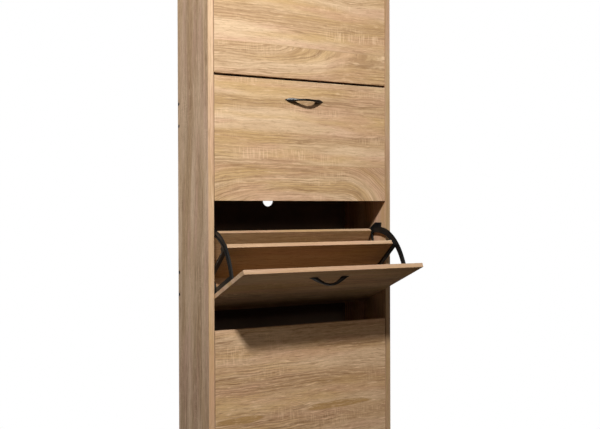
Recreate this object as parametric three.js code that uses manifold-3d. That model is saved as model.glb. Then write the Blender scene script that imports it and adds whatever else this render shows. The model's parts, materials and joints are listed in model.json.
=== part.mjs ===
// Tall shoe cabinet with four tilt-out flaps, each carrying two shoe pockets.
// Millimetres, +Z up, front facing -Y, origin on the floor under the middle of the whole outline.
import * as THREE from 'three';
import { mergeVertices } from 'three/addons/utils/BufferGeometryUtils.js';
import Module from 'manifold-3d';

const wasm = await Module();
wasm.setup();

// ---- driving dimensions -------------------------------------------------------------
const CASE_W = 580;
const CASE_H = 1470;
const PANEL_T = 16;
const SIDE_DEPTH = 237;
const BACK_T = 3;
const FIT = 0.3;
const GLIDE_H = 4;
const FLAPS = 4;
const FLAP_PITCH = 343;
const FIRST_DOOR_Z = 83.7;
const DOOR_H = 336.5;
const DOOR_W = 544;
const BOARD_T = 12;
const BOARD_HALF = 260;
const OPEN_DEG = 68;
const OPEN_FLAP = 3;
const PIVOT_Y = 36.5;
const PIVOT_UP = 105.8;
const STUB_R = 5;
const STUB_HOLE_R = 5.07;
const FRAME_T = 11;
const ARC_T = 5;
const STRIP_T = 3.5;
const ARC_IN = 143;
const ARC_OUT = 161;
const GROOVE_R = 149;
const GROOVE_HALF = 2.7;
const GROOVE_DEEP = 3;
const PIN_R = 2.3;
const PIN_HOLE_R = 2.6;
const HANDLE_DROP = 54.2;
const HANDLE_HALF = 61;
const HANDLE_SCREWS = 96;
const BACK_HOLE_R = 17;
const BACK_HOLE_Z = 772;
const RAIL_H = 100;
const RAIL_ZS = [532, 1020];
const BOTTOM_TOP = 75;
const PLINTH_SET_BACK = 20;

const INNER = CASE_W / 2 - PANEL_T;
const RAD = Math.PI / 180;
const openSin = Math.sin(OPEN_DEG * RAD);
const openCos = Math.cos(OPEN_DEG * RAD);
// The open flap's top front edge is the foremost point, the back panel the rearmost.
const frontReach = PIVOT_Y - PIVOT_Y * openCos - (DOOR_H - PIVOT_UP) * openSin;
const rearReach = SIDE_DEPTH + FIT + BACK_T;
const SHIFT_Y = -(frontReach + rearReach) / 2;

// ---- materials ----------------------------------------------------------------------
const oakFront = new THREE.MeshStandardMaterial({ color: 0xd2b184, roughness: 0.6 });
oakFront.name = 'oak_front';
const oakCase = new THREE.MeshStandardMaterial({ color: 0xb99b78, roughness: 0.6 });
oakCase.name = 'oak_case';
const hardboard = new THREE.MeshStandardMaterial({ color: 0x6b5544, roughness: 0.8 });
hardboard.name = 'hardboard';
const blackPlastic = new THREE.MeshStandardMaterial({ color: 0x17181a, roughness: 0.5 });
blackPlastic.name = 'black_plastic';
const blackMetal = new THREE.MeshStandardMaterial({ color: 0x1c1c1d, roughness: 0.35, metalness: 0.4 });
blackMetal.name = 'black_metal';
const steel = new THREE.MeshStandardMaterial({ color: 0xa8a9aa, roughness: 0.35, metalness: 0.9 });
steel.name = 'zinc_steel';

// ---- solid helpers ------------------------------------------------------------------
function clean(geometry) {
  geometry.deleteAttribute('normal');
  geometry.deleteAttribute('uv');
  return mergeVertices(geometry, 1e-4);
}

function toSolid(geometry) {
  const g = clean(geometry);
  return new wasm.Manifold(new wasm.Mesh({
    numProp: 3,
    vertProperties: new Float32Array(g.attributes.position.array),
    triVerts: new Uint32Array(g.index.array),
  }));
}

function toGeometry(solid) {
  const mesh = solid.getMesh();
  const g = new THREE.BufferGeometry();
  g.setAttribute('position', new THREE.BufferAttribute(new Float32Array(mesh.vertProperties), 3));
  g.setIndex(new THREE.BufferAttribute(new Uint32Array(mesh.triVerts), 1));
  return g;
}

// Prism of a Y-Z outline, running from x0 to x1.
function prismX(points, x0, x1) {
  const shape = new THREE.Shape(points.map(([y, z]) => new THREE.Vector2(y, z)));
  const g = new THREE.ExtrudeGeometry(shape, { depth: Math.abs(x1 - x0), bevelEnabled: false });
  const basis = new THREE.Matrix4().makeBasis(
    new THREE.Vector3(0, 1, 0),
    new THREE.Vector3(0, 0, 1),
    new THREE.Vector3(1, 0, 0),
  );
  g.applyMatrix4(basis);
  g.translate(Math.min(x0, x1), 0, 0);
  return g;
}

function slab(x0, x1, y0, y1, z0, z1) {
  return prismX([[y0, z0], [y1, z0], [y1, z1], [y0, z1]], x0, x1);
}

function discPoints(y, z, r, n) {
  const out = [];
  for (let i = 0; i < n; i += 1) {
    const a = (2 * Math.PI * i) / n;
    out.push([y + r * Math.cos(a), z + r * Math.sin(a)]);
  }
  return out;
}

// Round solid along X, from a profile of [radius, x] pairs that starts and ends on the axis.
function turnedX(profile, segments) {
  const g = new THREE.LatheGeometry(profile.map(([r, x]) => new THREE.Vector2(r, x)), segments);
  g.rotateZ(-Math.PI / 2);
  return g;
}

// Point at radius r and angle deg from straight up, positive towards the back.
function polar(r, deg) {
  return [r * Math.sin(deg * RAD), r * Math.cos(deg * RAD)];
}

// Arc band of a side frame: narrower and closer to the pivot towards the door.
function arcBand(a0, a1, n) {
  const outer = [];
  const inner = [];
  for (let i = 0; i <= n; i += 1) {
    const a = a0 + ((a1 - a0) * i) / n;
    const s = Math.min(1, Math.max(0, (a - 8) / 40));
    outer.push(polar(ARC_OUT - 6 * (1 - s), a));
    inner.push(polar(ARC_IN - 3 * (1 - s), a));
  }
  return [...outer, ...inner.reverse()].reverse();
}

// Board section: front top corner, lean back in degrees, length down; before and thick are the distances
// of its two faces in front of and behind that corner.
function leaning(top, lean, length, thick, before = 0) {
  const d = [-Math.sin(lean * RAD), -Math.cos(lean * RAD)];
  const n = [Math.cos(lean * RAD), -Math.sin(lean * RAD)];
  const at = (s, t) => [top[0] + d[0] * s + n[0] * t, top[1] + d[1] * s + n[1] * t];
  return [at(0, -before), at(length, -before), at(length, thick), at(0, thick)];
}

const root = new THREE.Group();
root.name = 'shoe_cabinet';

function put(name, geometry, material) {
  const g = clean(geometry);
  g.translate(0, SHIFT_Y, 0);
  g.computeVertexNormals();
  const mesh = new THREE.Mesh(g, material);
  mesh.name = name;
  root.add(mesh);
}

// ---- case ---------------------------------------------------------------------------
const pivotZs = [];
for (let i = 0; i < FLAPS; i += 1) {
  // Flap 1 is the top one.
  pivotZs.push(FIRST_DOOR_Z + PIVOT_UP + (FLAPS - 1 - i) * FLAP_PITCH);
}

for (const side of [-1, 1]) {
  const label = side < 0 ? 'left' : 'right';
  let solid = toSolid(slab(side * INNER, side * CASE_W / 2, 0, SIDE_DEPTH,
    GLIDE_H + FIT, CASE_H - PANEL_T - FIT));
  for (const z of pivotZs) {
    const stubHole = prismX(discPoints(PIVOT_Y, z, STUB_HOLE_R, 32), side * (INNER - 1), side * (INNER + 10.5));
    const pinHole = prismX(discPoints(PIVOT_Y, z + GROOVE_R, PIN_HOLE_R, 12), side * (INNER - 1),
      side * (INNER + 9));
    solid = solid.subtract(toSolid(stubHole)).subtract(toSolid(pinHole));
  }
  put(`side_panel_${label}`, toGeometry(solid), oakCase);
}

put('top_panel', slab(-CASE_W / 2, CASE_W / 2, 0, SIDE_DEPTH + FIT + BACK_T, CASE_H - PANEL_T, CASE_H), oakCase);
const inW = INNER - FIT;
put('bottom_panel', slab(-inW, inW, 0, SIDE_DEPTH - PANEL_T - FIT, BOTTOM_TOP - PANEL_T, BOTTOM_TOP), oakCase);
put('plinth_front', slab(-inW, inW, PLINTH_SET_BACK, PLINTH_SET_BACK + PANEL_T,
  GLIDE_H + FIT, BOTTOM_TOP - PANEL_T - FIT), oakCase);
put('rail_base', slab(-inW, inW, SIDE_DEPTH - PANEL_T, SIDE_DEPTH, GLIDE_H + FIT, BOTTOM_TOP), oakCase);
RAIL_ZS.forEach((z, i) => {
  const name = ['rail_lower', 'rail_upper'][i];
  put(name, slab(-inW, inW, SIDE_DEPTH - PANEL_T, SIDE_DEPTH, z - RAIL_H / 2, z + RAIL_H / 2), oakCase);
});

{
  const shape = new THREE.Shape([
    new THREE.Vector2(-CASE_W / 2 + 2, GLIDE_H + 6),
    new THREE.Vector2(CASE_W / 2 - 2, GLIDE_H + 6),
    new THREE.Vector2(CASE_W / 2 - 2, CASE_H - PANEL_T - FIT),
    new THREE.Vector2(-CASE_W / 2 + 2, CASE_H - PANEL_T - FIT),
  ]);
  const hole = new THREE.Path();
  hole.absarc(0, BACK_HOLE_Z, BACK_HOLE_R, 0, Math.PI * 2, true);
  shape.holes.push(hole);
  const g = new THREE.ExtrudeGeometry(shape, { depth: BACK_T, bevelEnabled: false, curveSegments: 32 });
  g.rotateX(Math.PI / 2);
  g.translate(0, SIDE_DEPTH + FIT + BACK_T, 0);
  put('back_panel', g, hardboard);
}

for (const side of [-1, 1]) {
  for (const [where, y] of [['front', 30], ['rear', 207]]) {
    const g = new THREE.LatheGeometry([
      new THREE.Vector2(0, 0),
      new THREE.Vector2(6, 0),
      new THREE.Vector2(7.5, 1.5),
      new THREE.Vector2(7.5, GLIDE_H),
      new THREE.Vector2(0, GLIDE_H),
    ], 14);
    g.rotateX(Math.PI / 2);
    g.translate(side * (CASE_W / 2 - PANEL_T / 2), y, 0);
    put(`glide_${where}_${side < 0 ? 'left' : 'right'}`, g, blackPlastic);
  }
}

// ---- flap parts, drawn closed with the pivot at y = 0, z = 0 --------------------------
const doorIn = -PIVOT_Y + BOARD_T;
const MID_TOP = [69.1, 131.5];
const MID_LEAN = 16.5;
const MID_LEN = 154;
const REAR_TOP = [144.7, 37.7];
const REAR_LEAN = 38;
const REAR_LEN = 95;

function lineY(points, z) {
  const [[y0, z0], [y1, z1]] = points;
  return y0 + ((y1 - y0) * (z - z0)) / (z1 - z0);
}

const midSection = leaning(MID_TOP, MID_LEAN, MID_LEN, BOARD_T);
const rearSection = leaning(REAR_TOP, REAR_LEAN, REAR_LEN, BOARD_T);

const frontFloor = [
  [doorIn + FIT, -16],
  [lineY([midSection[0], midSection[1]], -16) - FIT, -16],
  [lineY([midSection[0], midSection[1]], -4) - FIT, -4],
  [doorIn + FIT, -4],
];

// The rear floor stands square to the rear divider and ends on the middle divider's back.
function rearFloorSection() {
  const back = [Math.cos(REAR_LEAN * RAD), -Math.sin(REAR_LEAN * RAD)];
  const midBack = [midSection[3], midSection[2]];
  const slope = (midBack[0][0] - midBack[1][0]) / (midBack[0][1] - midBack[1][1]);
  const points = [];
  for (const up of [0, BOARD_T]) {
    const y = rearSection[1][0] + Math.sin(REAR_LEAN * RAD) * up - back[0] * FIT;
    const z = rearSection[1][1] + Math.cos(REAR_LEAN * RAD) * up - back[1] * FIT;
    // Walk forward along the floor until it meets the divider's back face.
    const reach = (y - midBack[1][0] - slope * (z - midBack[1][1])) / (back[0] - slope * back[1]) - FIT;
    points.push([[y, z], [y - back[0] * reach, z - back[1] * reach]]);
  }
  return [points[0][1], points[0][0], points[1][0], points[1][1]];
}
const rearFloor = rearFloorSection();

function joinPrisms(outlines, x0, x1) {
  let solid = null;
  for (const outline of outlines) {
    const area = outline.reduce((sum, p, i) => {
      const q = outline[(i + 1) % outline.length];
      return sum + p[0] * q[1] - q[0] * p[1];
    }, 0);
    const next = toSolid(prismX(area > 0 ? outline : [...outline].reverse(), x0, x1));
    solid = solid === null ? next : solid.add(next);
  }
  return solid;
}

// Moulded side frame: a thin arc next to the side panel, ribs as wide as the gap, strips on the board ends.
function alongRear(reach) {
  const a = REAR_LEAN * RAD;
  return [REAR_TOP[0] - Math.sin(a) * reach, REAR_TOP[1] - Math.cos(a) * reach];
}

function sideFrame(side) {
  const x0 = side * (BOARD_HALF + FIT);
  const x1 = side * (BOARD_HALF + FIT + FRAME_T);
  const edge = doorIn + FIT;
  const arcFront = -Math.asin(-edge / (ARC_OUT - 6)) / RAD;
  const arc = joinPrisms([
    arcBand(arcFront, 83, 24),
    [polar(ARC_OUT - 2, 83), polar(171, 73), polar(173.5, 71), polar(174, 62), polar(ARC_OUT - 2, 62)],
  ], x1 - side * ARC_T, x1);
  const ribs = joinPrisms([
    [[edge, -22], [edge + 13, -22], [edge + 13, 138], [edge, 146]],
    leaning(MID_TOP, MID_LEAN, MID_LEN, -2, 6),
    discPoints(0, 0, 19, 24),
  ], x0, x1);
  // A thin spoke runs from the hook end of the arc to the hub.
  const spoke = joinPrisms([leaning(polar(150, 80.5), 80.5, 146, 3, 3)], x1 - side * ARC_T, x1);
  const strips = joinPrisms([
    leaning(MID_TOP, MID_LEAN, MID_LEN, BOARD_T, 4),
    leaning(alongRear(40), REAR_LEAN, REAR_LEN - 38, BOARD_T, 2),
    [[edge, -22], [34, -22], [34, 2], [edge, 2]],
    [
      [rearFloor[0][0] - 4, rearFloor[0][1] - 1],
      [rearFloor[1][0] + 1, rearFloor[1][1] - 2],
      [rearFloor[2][0] + 1, rearFloor[2][1] + 1],
      [rearFloor[3][0] - 4, rearFloor[3][1] + 4],
    ],
  ], x0, x0 + side * STRIP_T);
  const arms = joinPrisms([
    leaning(MID_TOP, MID_LEAN, 20, BOARD_T, 4),
  ], x0, x1);
  // Two screw tabs lie flat on the door's inner face.
  const tabs = joinPrisms([60, 124].map((z) => [[edge, z], [edge + 2.4, z], [edge + 2.4, z + 14], [edge, z + 14]]),
    side * (BOARD_HALF - 20), x0 + side);
  let solid = arc.add(ribs).add(spoke).add(strips).add(arms).add(tabs);
  // Curved groove in the outer face: the fixed guide pin stops the flap at both of its ends.
  const slack = (FIT / GROOVE_R) / RAD;
  const a0 = -slack;
  const a1 = OPEN_DEG + slack;
  const groove = [];
  const n = 20;
  for (let i = 0; i <= n; i += 1) {
    groove.push(polar(GROOVE_R + GROOVE_HALF, a0 + ((a1 - a0) * i) / n));
  }
  for (let i = 1; i < 4; i += 1) {
    const c = polar(GROOVE_R, a1);
    const t = (a1 + 180 * (i / 4)) * RAD;
    groove.push([c[0] + GROOVE_HALF * Math.sin(t), c[1] + GROOVE_HALF * Math.cos(t)]);
  }
  for (let i = n; i >= 0; i -= 1) {
    groove.push(polar(GROOVE_R - GROOVE_HALF, a0 + ((a1 - a0) * i) / n));
  }
  for (let i = 1; i < 4; i += 1) {
    const c = polar(GROOVE_R, a0);
    const t = (a0 + 180 + 180 * (i / 4)) * RAD;
    groove.push([c[0] + GROOVE_HALF * Math.sin(t), c[1] + GROOVE_HALF * Math.cos(t)]);
  }
  groove.reverse();
  const grooveFloor = side * (BOARD_HALF + FIT + FRAME_T - GROOVE_DEEP);
  solid = solid.subtract(toSolid(prismX(groove, grooveFloor, x1 + side * 1)));
  const stub = prismX(discPoints(0, 0, STUB_R, 32), x1 - side * 1, side * (INNER + 10));
  const boss = prismX(discPoints(0, 0, 9, 16), x1 - side * 1, side * (INNER - 0.6));
  return solid.add(toSolid(boss)).add(toSolid(stub));
}

function guidePin(side) {
  const g = turnedX([
    [0, 0],
    [PIN_R, 0],
    [PIN_R, 3.6],
    [4.4, 3.6],
    [4.4, 4.6],
    [PIN_R, 4.6],
    [PIN_R, 13.2],
    [0, 13.2],
  ], 12);
  if (side < 0) {
    g.rotateZ(Math.PI);
  }
  g.translate(side * (INNER - FIT - 4.6), 0, 0);
  return g;
}

// Arched pull: inner and outer face and half height at t from -1 to 1; its leaf-shaped feet lie on the door.
function pullSection(t) {
  const reach = Math.abs(t);
  const outer = 2 + 22.8 * Math.max(0, 1 - (reach / 0.98) ** 2) ** 1.4;
  const inner = Math.max(FIT, 18 * (1 - (reach / 0.6) ** 2));
  const swell = Math.min(1, Math.max(0, (reach - 0.35) / 0.37));
  let high = 2.9 + 2.1 * swell * swell * (3 - 2 * swell);
  if (reach > 0.72) {
    high *= Math.max(0, 1 - ((reach - 0.72) / 0.285) ** 1.7);
  }
  return [inner, outer, Math.max(high, 0.5)];
}

function handleSolid() {
  const stations = 28;
  const sides = 10;
  const positions = [];
  const index = [];
  for (let i = 0; i <= stations; i += 1) {
    const t = Math.sin((Math.PI / 2) * (-1 + (2 * i) / stations));
    const [inner, outer, high] = pullSection(t);
    for (let k = 0; k < sides; k += 1) {
      const a = (2 * Math.PI * k) / sides;
      const c = Math.cos(a);
      const q = Math.sin(a);
      const away = (inner + outer) / 2 + ((outer - inner) / 2) * Math.sign(c) * Math.abs(c) ** 0.8;
      positions.push(HANDLE_HALF * t, -away, high * Math.sign(q) * Math.abs(q) ** 0.8);
    }
  }
  for (let i = 0; i < stations; i += 1) {
    for (let k = 0; k < sides; k += 1) {
      const a = i * sides + k;
      const b = i * sides + ((k + 1) % sides);
      index.push(a, a + sides, b, b, a + sides, b + sides);
    }
  }
  const last = stations * sides;
  for (let k = 1; k < sides - 1; k += 1) {
    index.push(0, k, k + 1);
    index.push(last, last + k + 1, last + k);
  }
  const g = new THREE.BufferGeometry();
  g.setAttribute('position', new THREE.Float32BufferAttribute(positions, 3));
  g.setIndex(index);
  let solid = toSolid(g);
  if (solid.volume() < 0) {
    throw new Error('handle faces point inwards');
  }
  for (const side of [-1, 1]) {
    const bore = new THREE.CylinderGeometry(2.1, 2.1, 6, 10);
    bore.translate(side * HANDLE_SCREWS / 2, -1.6, 0);
    solid = solid.subtract(toSolid(bore));
  }
  return solid;
}

function doorSolid(hasHandle) {
  let solid = toSolid(slab(-DOOR_W / 2, DOOR_W / 2, -PIVOT_Y, doorIn, -PIVOT_UP, DOOR_H - PIVOT_UP));
  if (hasHandle) {
    for (const side of [-1, 1]) {
      const hole = new THREE.CylinderGeometry(2.3, 2.3, BOARD_T + 4, 10);
      hole.translate(side * HANDLE_SCREWS / 2, -PIVOT_Y + BOARD_T / 2, DOOR_H - PIVOT_UP - HANDLE_DROP);
      solid = solid.subtract(toSolid(hole));
    }
  }
  return solid;
}

function handleScrew(side) {
  const g = new THREE.LatheGeometry([
    new THREE.Vector2(0, -3.9),
    new THREE.Vector2(1.5, -3.9),
    new THREE.Vector2(1.9, -3.5),
    new THREE.Vector2(1.9, BOARD_T + FIT),
    new THREE.Vector2(4.2, BOARD_T + FIT),
    new THREE.Vector2(3.6, BOARD_T + FIT + 2.1),
    new THREE.Vector2(0, BOARD_T + FIT + 2.6),
  ], 10);
  g.translate(side * HANDLE_SCREWS / 2, -PIVOT_Y, DOOR_H - PIVOT_UP - HANDLE_DROP);
  return g;
}

// ---- four flaps ---------------------------------------------------------------------
pivotZs.forEach((z, i) => {
  const number = i + 1;
  const angle = number === OPEN_FLAP ? OPEN_DEG * RAD : 0;
  const hasHandle = number !== FLAPS;
  const place = new THREE.Matrix4().makeTranslation(0, PIVOT_Y, z)
    .multiply(new THREE.Matrix4().makeRotationX(angle));
  const add = (name, geometry, material) => {
    geometry.applyMatrix4(place);
    put(`${name}_${number}`, geometry, material);
  };
  add('door', toGeometry(doorSolid(hasHandle)), oakFront);
  add('front_floor', prismX(frontFloor, -BOARD_HALF, BOARD_HALF), oakFront);
  add('middle_divider', prismX(midSection, -BOARD_HALF, BOARD_HALF), oakFront);
  add('rear_floor', prismX(rearFloor, -BOARD_HALF, BOARD_HALF), oakFront);
  add('rear_divider', prismX(rearSection, -BOARD_HALF, BOARD_HALF), oakFront);
  add('side_frame_left', toGeometry(sideFrame(-1)), blackPlastic);
  add('side_frame_right', toGeometry(sideFrame(1)), blackPlastic);
  if (hasHandle) {
    const handle = toGeometry(handleSolid());
    handle.translate(0, -PIVOT_Y, DOOR_H - PIVOT_UP - HANDLE_DROP);
    add('handle', handle, blackMetal);
    add('handle_screw_left', handleScrew(-1), steel);
    add('handle_screw_right', handleScrew(1), steel);
  }
  for (const side of [-1, 1]) {
    const pin = guidePin(side);
    pin.translate(0, PIVOT_Y, z + GROOVE_R);
    put(`guide_pin_${side < 0 ? 'left' : 'right'}_${number}`, pin, blackPlastic);
  }
});

export default root;
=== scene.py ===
"""Tall shoe cabinet with four tilt-out flaps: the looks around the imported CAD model."""

import json
import math

import bmesh
import bpy
from mathutils import Matrix, Vector


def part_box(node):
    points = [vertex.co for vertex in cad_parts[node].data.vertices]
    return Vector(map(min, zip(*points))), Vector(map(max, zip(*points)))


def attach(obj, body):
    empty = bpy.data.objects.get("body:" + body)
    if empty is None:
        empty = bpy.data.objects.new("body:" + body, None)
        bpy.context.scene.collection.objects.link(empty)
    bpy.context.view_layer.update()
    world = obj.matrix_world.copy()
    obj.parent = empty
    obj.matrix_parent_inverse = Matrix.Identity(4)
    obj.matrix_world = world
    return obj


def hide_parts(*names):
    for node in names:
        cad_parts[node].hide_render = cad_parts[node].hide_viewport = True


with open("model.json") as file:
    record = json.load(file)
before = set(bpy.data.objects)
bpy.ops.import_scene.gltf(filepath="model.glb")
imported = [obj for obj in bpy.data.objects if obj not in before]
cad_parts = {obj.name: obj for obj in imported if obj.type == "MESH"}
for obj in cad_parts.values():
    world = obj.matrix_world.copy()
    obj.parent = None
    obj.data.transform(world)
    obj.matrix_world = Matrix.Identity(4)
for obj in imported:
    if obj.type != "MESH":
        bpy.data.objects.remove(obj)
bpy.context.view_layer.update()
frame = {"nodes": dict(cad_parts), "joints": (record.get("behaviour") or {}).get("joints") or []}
NODES = frame["nodes"]
JOINTS = {j["name"]: j for j in frame["joints"]}
SCENE = bpy.context.scene
MM = 0.001


# ---- where things are -----------------------------------------------------------------
SIDE_LOW, SIDE_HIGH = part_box("side_panel_left")
RIGHT_LOW, RIGHT_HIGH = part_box("side_panel_right")
BACK_LOW, BACK_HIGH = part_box("back_panel")
DOOR_LOW, DOOR_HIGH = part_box("door_2")
FRONT_Y = SIDE_LOW.y


def flap_place(number):
    """Matrix from a flap's own closed position, pivot at the origin, to where it stands at rest."""
    joint = JOINTS[f"flap_{number}_tilt"]
    tilt = -min(joint["range_deg"])
    return Matrix.Translation(joint["pos_m"]) @ Matrix.Rotation(math.radians(tilt), 4, "X")


def axes(x, y, z):
    """Rotation whose local X, Y and Z point along the three given directions."""
    return Matrix((x, y, z)).transposed().to_4x4()


STANDING = Matrix.Identity(4)
UPRIGHT = axes((0, 0, 1), (1, 0, 0), (0, 1, 0))
LYING = axes((1, 0, 0), (0, 0, -1), (0, 1, 0))


def leaning(degrees):
    return Matrix.Rotation(-math.radians(degrees), 4, "X")


# ---- node helpers ---------------------------------------------------------------------
class Graph:
    """A short way to write a material's node tree."""

    def __init__(self, name):
        self.material = bpy.data.materials.new(name)
        self.material.use_nodes = True
        self.tree = self.material.node_tree
        self.tree.nodes.clear()
        self.shader = self.new("ShaderNodeBsdfPrincipled")
        output = self.new("ShaderNodeOutputMaterial")
        self.tree.links.new(self.shader.outputs[0], output.inputs["Surface"])

    def new(self, kind, **settings):
        node = self.tree.nodes.new(kind)
        for key, value in settings.items():
            setattr(node, key, value)
        return node

    def put(self, socket, value):
        if isinstance(value, bpy.types.NodeSocket):
            self.tree.links.new(value, socket)
        else:
            socket.default_value = value

    def calc(self, operation, a, b=0.0, c=None, clamp=False):
        node = self.new("ShaderNodeMath", operation=operation, use_clamp=clamp)
        self.put(node.inputs[0], a)
        self.put(node.inputs[1], b)
        if c is not None:
            self.put(node.inputs[2], c)
        return node.outputs[0]

    def ease(self, value, low, high, to_low=0.0, to_high=1.0):
        node = self.new("ShaderNodeMapRange", interpolation_type="SMOOTHSTEP")
        for i, item in enumerate((value, low, high, to_low, to_high)):
            self.put(node.inputs[i], item)
        return node.outputs[0]

    def vector(self, x, y, z=0.0):
        node = self.new("ShaderNodeCombineXYZ")
        for i, item in enumerate((x, y, z)):
            self.put(node.inputs[i], item)
        return node.outputs[0]

    def parts(self):
        """The object's own coordinates: along the grain, through the board, across the grain."""
        coords = self.new("ShaderNodeTexCoord")
        split = self.new("ShaderNodeSeparateXYZ")
        self.put(split.inputs[0], coords.outputs["Object"])
        return coords.outputs["Object"], split.outputs[0], split.outputs[1], split.outputs[2]

    def noise(self, vector, scale=1.0, detail=2.0, rough=0.5, distortion=0.0):
        node = self.new("ShaderNodeTexNoise", noise_dimensions="3D")
        self.put(node.inputs["Vector"], vector)
        for key, value in (("Scale", scale), ("Detail", detail), ("Roughness", rough),
                           ("Distortion", distortion)):
            node.inputs[key].default_value = value
        return node.outputs[0]

    def blend(self, factor, a, b, mode="MIX"):
        node = self.new("ShaderNodeMix", data_type="RGBA", blend_type=mode)
        for socket, value in ((node.inputs[0], factor), (node.inputs[6], a), (node.inputs[7], b)):
            self.put(socket, (*value, 1.0) if isinstance(value, tuple) and len(value) == 3 else value)
        return node.outputs[2]

    def bump(self, height, distance, strength=1.0, under=None):
        node = self.new("ShaderNodeBump")
        node.inputs["Strength"].default_value = strength
        node.inputs["Distance"].default_value = distance
        self.put(node.inputs["Height"], height)
        if under is not None:
            self.put(node.inputs["Normal"], under)
        return node.outputs[0]

    def finish(self, colour, roughness, normal=None, **constants):
        self.put(self.shader.inputs["Base Color"], colour)
        self.put(self.shader.inputs["Roughness"], roughness)
        if normal is not None:
            self.put(self.shader.inputs["Normal"], normal)
        for key, value in constants.items():
            self.shader.inputs[key.replace("_", " ")].default_value = value
        return self.material


# ---- oak --------------------------------------------------------------------------------
# What the print shows on each front, in metres along and across the grain from the flap's pivot.
# rings: a plank's upper edge, the heart its rings run round (along, across), how far from the heart they
# start and stop widening to the right and to the left, and by how much.
# bands: middle and half width across the grain, and tone (more lines when positive, paler when negative).
# lenses: flat flames, as middle and half size.
# sawn: the patch with saw marks, as from and to along and across.
# painted_shade_right: how much darker the right end is painted, a painted shade for the light falling off towards
# the right.
PRINT = {
    1: {
        "rings": (-0.018, -0.25, -0.018, 0.05, 0.42, 0.70, 0.058),
        "sawn": (0.05, 0.30, 0.008, 0.048),
        "painted_shade_right": 0.14,
        "bands": ((0.056, 0.032, 1.0), (0.012, 0.026, -1.2), (0.110, 0.030, -0.6), (-0.030, 0.016, 0.5)),
    },
    2: {
        "rings": (-0.006, 0.05, -0.150, 0.05, 0.25, 0.62, 0.135),
        "sawn": (-0.23, 0.06, 0.004, 0.046),
        "painted_shade_right": 0.08,
        "bands": ((0.071, 0.014, 1.3), (0.125, 0.024, -0.9), (0.160, 0.022, 0.7), (0.030, 0.026, -0.8),
                  (-0.016, 0.014, 0.8)),
    },
    3: {
        "rings": (0.060, 0.10, 0.060, 0.05, 0.40, 0.60, 0.070),
        "sawn": (-0.20, 0.10, 0.100, 0.150),
        "bands": ((0.020, 0.030, 0.9), (0.180, 0.030, -0.8)),
    },
    4: {
        "lenses": ((-0.200, -0.013, 0.076, 0.0105), (0.115, -0.008, 0.112, 0.0110)),
        "sawn": (-0.27, -0.15, 0.13, 0.19),
        "painted_shade_right": 0.24,
        "bands": ((0.072, 0.030, 1.0), (0.170, 0.014, 0.7), (0.125, 0.028, -1.0), (0.028, 0.020, -0.9),
                  (-0.045, 0.026, 0.8), (-0.090, 0.020, -0.6)),
    },
}


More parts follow.
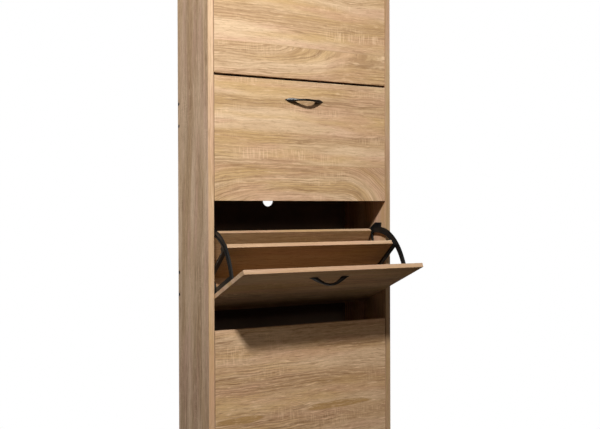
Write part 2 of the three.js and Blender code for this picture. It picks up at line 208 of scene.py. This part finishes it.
def oak(name, light, middle, dark, warm, features=None, saw=1.0, contrast=1.0, seed=0.0, thick=0.0):
    """Light oak print: broad tones, ring lines, fibres, pores and pale saw marks across the grain."""
    features = features or {}
    g = Graph(name)
    coords, along, through, across = g.parts()
    if thick:
        across = g.calc("MULTIPLY_ADD", through, thick, across)
    slow = g.noise(g.vector(g.calc("MULTIPLY", along, 1.7), g.calc("MULTIPLY", across, 4.0), seed), detail=1.0)
    small = g.noise(g.vector(g.calc("MULTIPLY", along, 9.0), g.calc("MULTIPLY", across, 30.0), seed), detail=3.0)
    level = g.calc("MULTIPLY_ADD", g.calc("SUBTRACT", slow, 0.5), 0.026, across)
    level = g.calc("MULTIPLY_ADD", g.calc("SUBTRACT", small, 0.5), 0.014, level)
    field, row, ringed, seam = level, seed, 0.0, None
    if "rings" in features:
        top, heart, depth, start, right, left, widen = features["rings"]
        straight = g.calc("MULTIPLY_ADD", g.calc("SUBTRACT", slow, 0.5), 0.010, across)
        below = g.ease(straight, top + 0.0012, top - 0.0012)
        up = g.calc("POWER", g.calc("SUBTRACT", level, depth), 2.0)
        away = g.calc("SUBTRACT", along, heart)
        side = g.calc("ADD", g.ease(away, start, right, 0.0, widen), g.ease(away, -start, -left, 0.0, widen))
        cone = g.calc("SQRT", g.calc("ADD", up, g.calc("POWER", side, 2.0)))
        field = g.calc("MULTIPLY_ADD", below, g.calc("SUBTRACT", g.calc("MULTIPLY", cone, -1.0), field), field)
        row = g.calc("MULTIPLY_ADD", below, 3.7, row)
        ringed = below
        beside = g.calc("ABSOLUTE", g.calc("SUBTRACT", straight, top))
        seam = g.ease(beside, 0.0003, 0.0013, 0.40, 0.0)
    ragged = g.noise(g.vector(g.calc("MULTIPLY", along, 45.0), g.calc("MULTIPLY", field, 700.0), row), detail=2.0)
    field = g.calc("MULTIPLY_ADD", g.calc("SUBTRACT", ragged, 0.5), 0.0034, field)
    tone = 0.0
    for middle_of, half, strength in features.get("bands", ()):
        reach = g.calc("ABSOLUTE", g.calc("SUBTRACT", level, middle_of))
        tone = g.calc("ADD", g.ease(reach, 0.0, half * 1.4, strength, 0.0), tone)

    def streaks(lengthwise, crosswise, offset, detail, rough=0.5):
        return g.noise(g.vector(g.calc("MULTIPLY", along, lengthwise), g.calc("MULTIPLY", field, crosswise),
                                g.calc("ADD", row, offset)), detail=detail, rough=rough)

    broad = g.calc("MULTIPLY_ADD", tone, 0.16, streaks(1.3, 22.0, 0.0, 3.0))
    tint = streaks(2.0, 17.0, 11.0, 2.0)
    rosy = streaks(3.4, 24.0, 17.0, 2.0)
    amount = g.calc("MULTIPLY_ADD", tone, 0.15, streaks(2.2, 14.0, 23.0, 2.0))
    amount = g.calc("MULTIPLY_ADD", ringed, 0.12, amount)
    lines = streaks(2.0, 150.0, 31.0, 4.0, 0.65)
    wander = streaks(0.9, 40.0, 41.0, 2.0)
    ring = g.calc("FRACT", g.calc("MULTIPLY_ADD", wander, 2.4, g.calc("MULTIPLY", field, 140.0)))
    ring = g.calc("MULTIPLY", g.ease(ring, 0.10, 0.86), g.ease(ring, 0.86, 0.99, 1.0, 0.0))
    ring = g.calc("MULTIPLY", ring, g.ease(amount, 0.44, 0.64, 0.05, 1.0))
    line = g.calc("MULTIPLY", g.ease(lines, 0.52, 0.70), g.ease(amount, 0.38, 0.62, 0.25, 1.0))
    contour = g.calc("ABSOLUTE", g.calc("SUBTRACT", streaks(1.5, 48.0, 53.0, 2.0), 0.5))
    thin = g.calc("MULTIPLY", g.ease(contour, 0.004, 0.022, 1.0, 0.0), g.ease(amount, 0.40, 0.60, 0.2, 1.0))
    flecks = streaks(24.0, 230.0, 13.0, 2.0, 0.7)
    fine = streaks(9.0, 430.0, 3.0, 3.0, 0.6)
    fibre = streaks(20.0, 980.0, 5.0, 2.0, 0.6)
    pores = g.ease(streaks(34.0, 1700.0, 7.0, 1.0), 0.60, 0.72)
    tilt = g.calc("MULTIPLY_ADD", across, 0.03, along)
    marks = g.noise(g.vector(g.calc("MULTIPLY", tilt, 330.0), g.calc("MULTIPLY", across, 24.0), seed), detail=1.0)
    spread = g.vector(g.calc("MULTIPLY", along, 6.0), g.calc("MULTIPLY", across, 16.0), seed + 5)
    patch = g.noise(spread, detail=2.0)
    where = g.ease(patch, 0.54, 0.66, 0.0, 0.6)
    if "sawn" in features:
        x0, x1, z0, z1 = features["sawn"]
        inside = g.calc("MULTIPLY", g.ease(along, x0, x0 + 0.04), g.ease(along, x1, x1 - 0.08))
        inside = g.calc("MULTIPLY", inside, g.ease(level, z0, z0 + 0.01))
        inside = g.calc("MULTIPLY", inside, g.ease(level, z1, z1 - 0.012))
        where = g.calc("MAXIMUM", where, g.calc("MULTIPLY", inside, g.ease(patch, 0.25, 0.5, 0.5, 1.0)))
    sawn = g.calc("MULTIPLY", g.ease(marks, 0.50, 0.64), where)
    pale = tuple(min(1.0, c * 1.16) for c in light)
    rose = (middle[0] * 1.08, middle[1] * 0.96, middle[2] * 1.16)
    flame = (warm[0] * 0.70, warm[1] * 0.66, warm[2] * 0.55)
    deep_flame = tuple(c * f for c, f in zip(warm, (0.66, 0.60, 0.45)))
    shade = g.blend(g.ease(broad, 0.36, 0.64), light, middle)
    shade = g.blend(g.ease(tint, 0.44, 0.64, 0.0, 0.72), shade, warm)
    shade = g.blend(g.ease(rosy, 0.46, 0.66, 0.0, 0.50), shade, rose)
    flames = []
    for x, z, wide, high in features.get("lenses", ()):
        flat = g.calc("POWER", g.calc("DIVIDE", g.calc("SUBTRACT", along, x), wide), 2.0)
        tall = g.calc("POWER", g.calc("DIVIDE", g.calc("SUBTRACT", level, z), high), 2.0)
        lens = g.calc("SQRT", g.calc("ADD", flat, tall))
        shade = g.blend(g.ease(lens, 1.06, 0.82, 0.0, 0.66), shade, flame)
        around = g.calc("MULTIPLY", g.ease(lens, 0.9, 1.05), g.ease(lens, 1.05, 1.35, 1.0, 0.0))
        shade = g.blend(g.calc("MULTIPLY", around, 0.4), shade, pale)
        flames.append(lens)
    # Painted shade: the right end of the front is darkened, standing in for the light falling off towards the
    # right.
    if "painted_shade_right" in features:
        shade = g.blend(g.ease(along, -0.20, 0.26, 0.0, features["painted_shade_right"]), shade, dark)
    shade = g.blend(g.calc("MULTIPLY", ring, 0.52 * contrast), shade, dark)
    shade = g.blend(g.calc("MULTIPLY", line, 0.56 * contrast), shade, dark)
    shade = g.blend(g.calc("MULTIPLY", thin, 0.55 * contrast), shade, tuple(c * 0.8 for c in dark))
    if seam:
        shade = g.blend(seam, shade, dark)
    for lens in flames:
        shade = g.blend(g.ease(lens, 1.02, 0.80, 0.0, 0.50), shade, deep_flame)
    shade = g.blend(g.ease(flecks, 0.54, 0.72, 0.0, 0.46 * contrast), shade, dark)
    shade = g.blend(g.ease(flecks, 0.28, 0.46, 0.45 * contrast, 0.0), shade, pale)
    shade = g.blend(g.ease(fine, 0.42, 0.70, 0.0, 0.36 * contrast), shade, dark)
    shade = g.blend(g.ease(fibre, 0.30, 0.48, 0.22 * contrast, 0.0), shade, pale)
    shade = g.blend(g.ease(fibre, 0.52, 0.70, 0.0, 0.25 * contrast), shade, dark)
    shade = g.blend(g.calc("MULTIPLY", pores, 0.40 * contrast), shade, tuple(c * 0.7 for c in dark))
    shade = g.blend(g.calc("MULTIPLY", sawn, 0.42 * saw), shade, pale)
    relief = g.calc("MULTIPLY_ADD", pores, -0.7, g.calc("MULTIPLY", fibre, -0.5))
    relief = g.calc("MULTIPLY_ADD", ring, -0.5, relief)
    relief = g.calc("MULTIPLY_ADD", sawn, 0.5, relief)
    rough = g.ease(fine, 0.2, 0.8, 0.52, 0.68)
    return g.finish(shade, rough, g.bump(relief, 0.00022, 0.5), Specular_IOR_Level=0.28)


LIGHT, MIDDLE = (0.780, 0.580, 0.375), (0.625, 0.430, 0.250)
DARK, WARM = (0.330, 0.190, 0.090), (0.610, 0.405, 0.170)


def tinted(*factors):
    """The four tones of the print, each channel times its factor."""
    return [tuple(c * f for c, f in zip(tone, factors)) for tone in (LIGHT, MIDDLE, DARK, WARM)]


OAK_DOORS = {n: oak(f"oak_front_{n}", *tinted(1.0, 0.985, 0.98), PRINT[n], seed=10.0 * n) for n in (1, 2, 3)}
OAK_DOORS[4] = oak("oak_front_4", *tinted(1.0, 0.965, 0.96), PRINT[4], contrast=1.45, seed=40.0)
# A darker copy of the print for the dividers, floors and doors' inner faces: painted shade for the pockets, where
# little light reaches.
OAK_SHADED_INNER = oak("oak_shaded_inner", *tinted(0.60, 0.53, 0.44), saw=0.8, contrast=1.1, seed=60.0)
OAK_CASE = oak("oak_case", (0.780, 0.580, 0.405), (0.580, 0.405, 0.265), (0.270, 0.155, 0.078),
               (0.560, 0.375, 0.215), saw=0.6, contrast=1.15, seed=70.0)
# A brighter copy of the print for the side panels' inner faces: painted light, where the key lights the inner
# wall.
OAK_WALL_PAINTED_LIGHT = oak("oak_wall_painted_light", *tinted(1.10, 1.02, 1.06), saw=0.3, contrast=0.8, seed=75.0)
OAK_EDGE = oak("oak_edge_band", *tinted(0.84, 0.81, 0.84), saw=0.0, contrast=0.5, seed=80.0, thick=1.0)
OAK_STRIP = oak("oak_front_strip", *tinted(1.0, 0.96, 0.96), saw=0.0, contrast=0.5, seed=85.0, thick=1.0)
# A darker copy of the front strip for the right panel: painted shade for the light falling off towards the right.
OAK_RIGHT_STRIP_SHADED = oak("oak_shaded_right_strip", *tinted(0.71, 0.69, 0.70), saw=0.0, contrast=0.5, seed=90.0, thick=1.0)


# ---- other materials --------------------------------------------------------------------
def plastic(name, colour, roughness=0.42, grain=0.00006):
    g = Graph(name)
    coords = g.parts()[0]
    leather = g.noise(coords, 1400.0, detail=2.0, rough=0.6)
    cloud = g.noise(coords, 24.0, detail=3.0)
    shade = g.blend(g.ease(cloud, 0.3, 0.8), colour, tuple(c * 1.6 + 0.004 for c in colour))
    rough = g.ease(cloud, 0.3, 0.7, roughness, roughness + 0.12)
    return g.finish(shade, rough, g.bump(leather, grain, 0.7), Specular_IOR_Level=0.35)


def lacquer(name, colour):
    g = Graph(name)
    coords = g.parts()[0]
    peel = g.noise(coords, 420.0, detail=1.0)
    wear = g.noise(coords, 60.0, detail=4.0)
    shade = g.blend(g.ease(wear, 0.45, 0.8), colour, tuple(c * 1.7 for c in colour))
    rough = g.ease(wear, 0.3, 0.8, 0.26, 0.40)
    return g.finish(shade, rough, g.bump(peel, 0.00002, 0.6), Specular_IOR_Level=0.45)


def steel(name):
    g = Graph(name)
    coords = g.parts()[0]
    spangle = g.noise(coords, 500.0, detail=2.0)
    shade = g.blend(spangle, (0.50, 0.51, 0.53), (0.70, 0.70, 0.70))
    return g.finish(shade, g.ease(spangle, 0.2, 0.8, 0.25, 0.45), Metallic=1.0)


def fibreboard(name, light, dark):
    g = Graph(name)
    coords = g.parts()[0]
    felt = g.noise(coords, 900.0, detail=3.0, rough=0.7)
    cloud = g.noise(coords, 14.0, detail=4.0)
    shade = g.blend(g.ease(felt, 0.3, 0.7), light, dark)
    shade = g.blend(g.ease(cloud, 0.3, 0.75, 0.0, 0.35), shade, dark)
    return g.finish(shade, g.ease(felt, 0.2, 0.8, 0.62, 0.8), g.bump(felt, 0.0001, 0.5), Specular_IOR_Level=0.25)


BLACK_PLASTIC = plastic("black_plastic", (0.005, 0.0055, 0.006), 0.36)
CAP_PLASTIC = plastic("cap_plastic", (0.006, 0.005, 0.005), 0.55)
BLACK_LACQUER = lacquer("black_lacquer", (0.006, 0.006, 0.0065))
ZINC = steel("zinc_steel")
HARDBOARD = fibreboard("hardboard", (0.250, 0.190, 0.155), (0.180, 0.135, 0.108))


# ---- mesh helpers -----------------------------------------------------------------------
def link(name, mesh, place, materials):
    piece = bpy.data.objects.new(name, mesh)
    SCENE.collection.objects.link(piece)
    piece.matrix_world = place
    for material in materials:
        mesh.materials.append(material)
    return piece


def baked(piece):
    """Applies the piece's modifiers, so that its mesh is what shows."""
    bpy.context.view_layer.update()
    graph = bpy.context.evaluated_depsgraph_get()
    mesh = bpy.data.meshes.new_from_object(piece.evaluated_get(graph))
    piece.modifiers.clear()
    piece.data = mesh
    return piece


def rounded(piece, width, segments=2, angle=30):
    bevel = piece.modifiers.new("round", "BEVEL")
    bevel.width = width
    bevel.segments = segments
    bevel.limit_method = "ANGLE"
    bevel.angle_limit = math.radians(angle)
    bevel.use_clamp_overlap = True
    bevel.harden_normals = False
    for polygon in piece.data.polygons:
        polygon.use_smooth = True
    normals = piece.modifiers.new("normals", "WEIGHTED_NORMAL")
    normals.keep_sharp = True
    return baked(piece)


def from_cad(node, place, materials, width, segments=2, shift=(0, 0, 0)):
    """A finer copy of a CAD solid in its own axes, with rounded edges. shift picks its stretch of grain."""
    place = place @ Matrix.Translation(-Vector(shift))
    mesh = NODES[node].data.copy()
    mesh.name = node + "_fine"
    mesh.materials.clear()
    mesh.transform(place.inverted())
    bm = bmesh.new()
    bm.from_mesh(mesh)
    bmesh.ops.remove_doubles(bm, verts=bm.verts, dist=2e-6)
    bmesh.ops.dissolve_limit(bm, angle_limit=math.radians(0.5), verts=bm.verts, edges=bm.edges)
    bm.to_mesh(mesh)
    bm.free()
    for name in ("custom_normal", "sharp_edge"):
        layer = mesh.attributes.get(name)
        if layer is not None:
            mesh.attributes.remove(layer)
    piece = link(node + "_fine", mesh, place, materials)
    piece = rounded(piece, width, segments)
    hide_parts(node)
    return piece


def faced(piece, front=0, back=0, edge=1):
    """Gives a board's front face, back face and edges their materials."""
    for polygon in piece.data.polygons:
        y = polygon.normal.y
        polygon.material_index = front if y < -0.9 else back if y > 0.9 else edge
    return piece


# ---- case -------------------------------------------------------------------------------
CASE = "cabinet"


def case_board(node, turn, shift, front=OAK_CASE, back=OAK_CASE, edge=OAK_STRIP):
    low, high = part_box(node)
    place = Matrix.Translation((low + high) / 2) @ turn
    piece = from_cad(node, place, (front, back, edge), 0.0007, shift=shift)
    faced(piece, 0, 1, 2)
    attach(piece, CASE)
    return piece


# The side panels' inner faces take the brighter copy of the oak: painted light.
case_board("side_panel_left", UPRIGHT, (0.3, 0.0, 7.0), back=OAK_WALL_PAINTED_LIGHT)
# The right panel's front strip takes the darker copy of the strip: painted shade.
case_board("side_panel_right", UPRIGHT, (3.1, 0.4, 9.0), front=OAK_WALL_PAINTED_LIGHT, edge=OAK_RIGHT_STRIP_SHADED)
case_board("top_panel", LYING, (1.0, 0.0, 11.0))
case_board("bottom_panel", LYING, (0.0, 0.2, 13.0))
case_board("plinth_front", STANDING, (2.0, 0.0, 15.0))
case_board("rail_base", STANDING, (1.2, 0.0, 16.0))
case_board("rail_lower", STANDING, (0.7, 0.0, 17.0))
case_board("rail_upper", STANDING, (2.7, 0.0, 18.0))

back = from_cad("back_panel", Matrix.Translation((BACK_LOW + BACK_HIGH) / 2), (HARDBOARD,), 0.0003, 1)
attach(back, CASE)


def turned(name, profile, place, materials, segments=24):
    """Round piece about its local Z axis, from [radius, height] pairs."""
    bm = bmesh.new()
    rings = []
    for radius, height in profile:
        if radius < 1e-6:
            rings.append([bm.verts.new((0, 0, height))])
            continue
        ring = []
        for i in range(segments):
            a = 2 * math.pi * i / segments
            ring.append(bm.verts.new((radius * math.cos(a), radius * math.sin(a), height)))
        rings.append(ring)
    for low, high in zip(rings, rings[1:]):
        for i in range(segments):
            j = (i + 1) % segments
            corners = [low[i % len(low)], low[j % len(low)], high[j % len(high)], high[i % len(high)]]
            unique = list(dict.fromkeys(corners))
            if len(unique) > 2:
                bm.faces.new(unique)
    bmesh.ops.recalc_face_normals(bm, faces=bm.faces)
    mesh = bpy.data.meshes.new(name)
    bm.to_mesh(mesh)
    bm.free()
    for polygon in mesh.polygons:
        polygon.use_smooth = True
    mesh.set_sharp_from_angle(angle=math.radians(40))
    return link(name, mesh, place, materials)


NAIL_INSET = 0.008
NAILS_PER_EDGE = 12
NAIL_SIDES = 12


def nails():
    """Nail heads that hold the back panel to the panels' and rails' rear edges, as one mesh."""
    edges = BACK_LOW.x + NAIL_INSET, BACK_HIGH.x - NAIL_INSET
    low, top = BACK_LOW.z + NAIL_INSET, BACK_HIGH.z - NAIL_INSET
    spots = [(x, low + (top - low) * i / (NAILS_PER_EDGE - 1)) for x in edges for i in range(NAILS_PER_EDGE)]
    for x in (-0.18, -0.09, 0.0, 0.09, 0.18):
        spots += [(x, low), (x, top)]
        spots += [(x, sum(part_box(rail)[k].z for k in (0, 1)) / 2) for rail in ("rail_lower", "rail_upper")]
    bm = bmesh.new()
    for x, z in spots:
        tip = bm.verts.new((x, BACK_HIGH.y + 0.0009, z))
        rims = []
        for radius, out in ((0.0014, 0.0007), (0.0022, -0.0003)):
            rims.append([bm.verts.new((x + radius * math.cos(a), BACK_HIGH.y + out, z + radius * math.sin(a)))
                         for a in [2 * math.pi * i / NAIL_SIDES for i in range(NAIL_SIDES)]])
        for i in range(NAIL_SIDES):
            j = (i + 1) % NAIL_SIDES
            bm.faces.new((tip, rims[0][i], rims[0][j]))
            bm.faces.new((rims[0][i], rims[1][i], rims[1][j], rims[0][j]))
        bm.faces.new(rims[1][::-1])
    bmesh.ops.recalc_face_normals(bm, faces=bm.faces)
    mesh = bpy.data.meshes.new("back_nails")
    bm.to_mesh(mesh)
    bm.free()
    piece = link("back_nails", mesh, Matrix.Identity(4), (ZINC,))
    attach(piece, CASE)


nails()

for side, low, high in ((-1, SIDE_LOW, SIDE_HIGH), (1, RIGHT_LOW, RIGHT_HIGH)):
    label = "left" if side < 0 else "right"
    outer = low.x if side < 0 else high.x
    for rail in ("rail_lower", "rail_upper", "rail_base"):
        rail_low, rail_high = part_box(rail)
        middle = (rail_low.z + rail_high.z) / 2
        spread = min(32 * MM, (rail_high.z - rail_low.z) / 2 - 14 * MM)
        for up, sign in (("top", 1), ("bottom", -1)):
            spot = Vector((outer, (rail_low.y + rail_high.y) / 2, middle + sign * spread))
            cap = turned(
                f"screw_cap_{rail}_{up}_{label}",
                [(0, -0.0012), (0.0050, -0.0012), (0.0050, 0.0002), (0.0046, 0.0006), (0.0024, 0.0008),
                 (0.0020, 0.0003), (0, 0.0003)],
                Matrix.Translation(spot) @ Matrix.Rotation(side * math.pi / 2, 4, "Y"),
                (CAP_PLASTIC,),
            )
            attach(cap, CASE)

for where in ("front", "rear"):
    for label in ("left", "right"):
        node = f"glide_{where}_{label}"
        low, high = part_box(node)
        glide = from_cad(node, Matrix.Translation((low + high) / 2), (BLACK_PLASTIC,), 0.0004)
        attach(glide, CASE)


# ---- flaps ------------------------------------------------------------------------------
def flap_board(number, part, turn, shift):
    node = f"{part}_{number}"
    place = flap_place(number) @ turn
    # The doors' inner faces, the floors and the dividers take the darker copy of the oak: painted shade.
    if part == "door":
        sides = (OAK_DOORS[number], OAK_EDGE, OAK_SHADED_INNER)
        piece = faced(from_cad(node, place, sides, 0.0006, shift=shift), 0, 2, 1)
    else:
        piece = faced(from_cad(node, place, (OAK_SHADED_INNER, OAK_EDGE), 0.0006, shift=shift))
    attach(piece, f"flap_{number}")
    return piece


PULL_HALF = 0.061
PULL_PLACE = (0, -36.5 * MM, 176.5 * MM)


def pull_section(t):
    """Inner and outer face of the pull and half its height, at t from -1 to 1 along it."""
    reach = abs(t)
    outer = 0.002 + 0.0228 * max(0.0, 1 - (reach / 0.98) ** 2) ** 1.4
    inner = max(0.0003, 0.018 * (1 - (reach / 0.60) ** 2))
    swell = min(1.0, max(0.0, (reach - 0.35) / 0.37))
    high = 0.0029 + 0.0021 * swell * swell * (3 - 2 * swell)
    if reach > 0.72:
        high *= max(0.0, 1 - ((reach - 0.72) / 0.285) ** 1.7)
    return inner, max(outer, inner + 0.0009), max(high, 0.0005)


def pull(number):
    bm = bmesh.new()
    stations, sides = 72, 20
    rings = []
    for i in range(stations + 1):
        t = math.sin(math.pi / 2 * (-1 + 2 * i / stations)) if i % stations else (-1 if i == 0 else 1)
        inner, outer, high = pull_section(t)
        middle, deep = (inner + outer) / 2, (outer - inner) / 2
        ring = []
        for k in range(sides):
            a = 2 * math.pi * k / sides
            c, s = math.cos(a), math.sin(a)
            away = middle + deep * math.copysign(abs(c) ** 0.8, c)
            ring.append(bm.verts.new((PULL_HALF * t, -away, high * math.copysign(abs(s) ** 0.8, s))))
        rings.append(ring)
    for a, b in zip(rings, rings[1:]):
        for k in range(sides):
            bm.faces.new((a[k], a[(k + 1) % sides], b[(k + 1) % sides], b[k]))
    bm.faces.new(rings[0])
    bm.faces.new(rings[-1][::-1])
    bmesh.ops.recalc_face_normals(bm, faces=bm.faces)
    mesh = bpy.data.meshes.new(f"pull_{number}")
    bm.to_mesh(mesh)
    bm.free()
    for polygon in mesh.polygons:
        polygon.use_smooth = True
    mesh.set_sharp_from_angle(angle=math.radians(50))
    place = flap_place(number) @ Matrix.Translation(PULL_PLACE)
    piece = link(f"pull_{number}", mesh, place, (BLACK_LACQUER,))
    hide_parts(f"handle_{number}")
    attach(piece, f"flap_{number}")
    return piece


HEAD = [(0, 0.0006), (0.0009, 0.0006), (0.0013, 0.0012), (0.0024, 0.0010), (0.0031, 0.0003), (0.0031, -0.0004),
        (0, -0.0004)]


# Where the screws sit: heights on the door, then each divider's upper edge, lean and reaches down it.
DOOR_SCREWS = (0.067, 0.131)
DIVIDER_SCREWS = (((0.0691, 0.1315), 16.5, (0.040, 0.075, 0.120)), ((0.1447, 0.0377), 38, (0.052, 0.084)))


def screw_heads(number, label, side):
    """Heads of the screws that hold a side frame to the door and to the board ends."""
    spots = [(Vector((side * 0.247, -0.0218, z)), Matrix.Rotation(-math.pi / 2, 4, "X")) for z in DOOR_SCREWS]
    for top, lean, reaches in DIVIDER_SCREWS:
        back = math.radians(lean)
        for reach in reaches:
            y = top[0] - math.sin(back) * reach + math.cos(back) * 0.006
            z = top[1] - math.cos(back) * reach - math.sin(back) * 0.006
            spots.append((Vector((side * 0.2638, y, z)), Matrix.Rotation(side * math.pi / 2, 4, "Y")))
    for i, (spot, turn) in enumerate(spots):
        place = flap_place(number) @ Matrix.Translation(spot) @ turn
        head = turned(f"frame_screw_{label}_{number}_{i}", HEAD, place, (ZINC,), 16)
        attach(head, f"flap_{number}")


for number in (1, 2, 3, 4):
    flap_board(number, "door", STANDING, (0.0, 0.0, 0.0))
    flap_board(number, "front_floor", leaning(90), (number, 0.1, 0.5))
    flap_board(number, "middle_divider", leaning(16.5), (1.3 * number, 0.2, 5.2))
    flap_board(number, "rear_floor", leaning(128), (0.4 + number, 0.3, 12.0))
    flap_board(number, "rear_divider", leaning(38), (0.9 * number, 0.4, 9.1))
    for label, side in (("left", -1), ("right", 1)):
        arm = from_cad(f"side_frame_{label}_{number}", flap_place(number), (BLACK_PLASTIC,), 0.0005)
        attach(arm, f"flap_{number}")
        screw_heads(number, label, side)
        NODES[f"guide_pin_{label}_{number}"].material_slots[0].material = BLACK_PLASTIC
    if f"handle_{number}" in NODES:
        pull(number)
        for label in ("left", "right"):
            NODES[f"handle_screw_{label}_{number}"].material_slots[0].material = ZINC


# ---- floor, light and camera --------------------------------------------------------------
def pale_floor():
    g = Graph("floor_paper")
    coords = g.parts()[0]
    grain = g.noise(coords, 300.0, detail=2.0)
    shade = g.blend(grain, (0.86, 0.86, 0.86), (0.89, 0.89, 0.885))
    return g.finish(shade, 0.75, Specular_IOR_Level=0.1)


floor_mesh = bpy.data.meshes.new("studio_floor")
FLOOR_MIDDLE = Vector((-0.15, -0.25, 0.0))
FLOOR_RADIUS = 0.70
FLOOR_SIDES = 96
ring = [FLOOR_MIDDLE + FLOOR_RADIUS * Vector((math.cos(a), math.sin(a), 0)) for a in
        [2 * math.pi * i / FLOOR_SIDES for i in range(FLOOR_SIDES)]]
floor_mesh.from_pydata([tuple(p) for p in ring], [], [list(range(FLOOR_SIDES))])
floor = link("studio_floor", floor_mesh, Matrix.Identity(4), (pale_floor(),))
floor.visible_diffuse = False

world = bpy.data.worlds.new("studio")
SCENE.world = world
world.use_nodes = True
tree = world.node_tree
tree.nodes.clear()
out = tree.nodes.new("ShaderNodeOutputWorld")
seen = tree.nodes.new("ShaderNodeBackground")
seen.inputs[0].default_value = (1.0, 1.0, 1.0, 1.0)
seen.inputs[1].default_value = 1.0
ambient = tree.nodes.new("ShaderNodeBackground")
ambient.inputs[0].default_value = (1.0, 0.90, 0.76, 1.0)
ambient.inputs[1].default_value = 0.024
path = tree.nodes.new("ShaderNodeLightPath")
choose = tree.nodes.new("ShaderNodeMixShader")
tree.links.new(path.outputs["Is Camera Ray"], choose.inputs[0])
tree.links.new(ambient.outputs[0], choose.inputs[1])
tree.links.new(seen.outputs[0], choose.inputs[2])
tree.links.new(choose.outputs[0], out.inputs[0])


def softbox(name, spot, target, size, power, colour=(1.0, 1.0, 1.0)):
    data = bpy.data.lights.new(name, "AREA")
    data.shape = "DISK"
    data.size = size
    data.energy = power
    data.color = colour
    lamp = bpy.data.objects.new(name, data)
    SCENE.collection.objects.link(lamp)
    lamp.location = spot
    lamp.visible_camera = False
    lamp.rotation_euler = (Vector(target) - Vector(spot)).to_track_quat("-Z", "Y").to_euler()
    return lamp


softbox("key", (-1.155, FRONT_Y - 1.9, 2.62), (0.0, 0.0, 0.8), 0.23, 98.0, (1.0, 0.99, 0.97))
softbox("side_fill", (-3.2, 0.45, 2.4), (-0.3, 0.1, 0.9), 1.6, 33.0, (1.0, 0.97, 0.93))
softbox("front_fill", (0.3, -3.4, 2.3), (0.0, 0.0, 0.7), 1.4, 16.0, (1.0, 0.86, 0.72))
softbox("floor_bounce", (0.05, FRONT_Y - 0.45, 0.02), (0.05, FRONT_Y - 0.45, 1.0), 0.5, 0.15, (1.0, 0.74, 0.48))
softbox("rear_fill", (0.7, 3.0, 0.45), (0.0, 0.3, 0.8), 1.2, 26.0)
softbox("right_fill", (3.2, 1.2, 1.0), (0.3, 0.2, 0.8), 1.2, 26.0)

YAW, PITCH, ROLL = 0.486, 0.007, -0.003
ahead = Vector((math.sin(YAW) * math.cos(PITCH), math.cos(YAW) * math.cos(PITCH), -math.sin(PITCH)))
right = Vector((math.cos(YAW), -math.sin(YAW), 0.0))
up = right.cross(ahead)
right, up = right * math.cos(ROLL) + up * math.sin(ROLL), up * math.cos(ROLL) - right * math.sin(ROLL)
camera_data = bpy.data.cameras.new("camera")
camera_data.sensor_width = 36.0
camera_data.lens = 49.968
camera = bpy.data.objects.new("camera", camera_data)
SCENE.collection.objects.link(camera)
camera.matrix_world = Matrix.Translation((-1.110, FRONT_Y - 2.0745, 0.7477)) @ axes(right, up, -ahead)
SCENE.camera = camera
SCENE.view_settings.view_transform = "Standard"
SCENE.view_settings.look = "None"
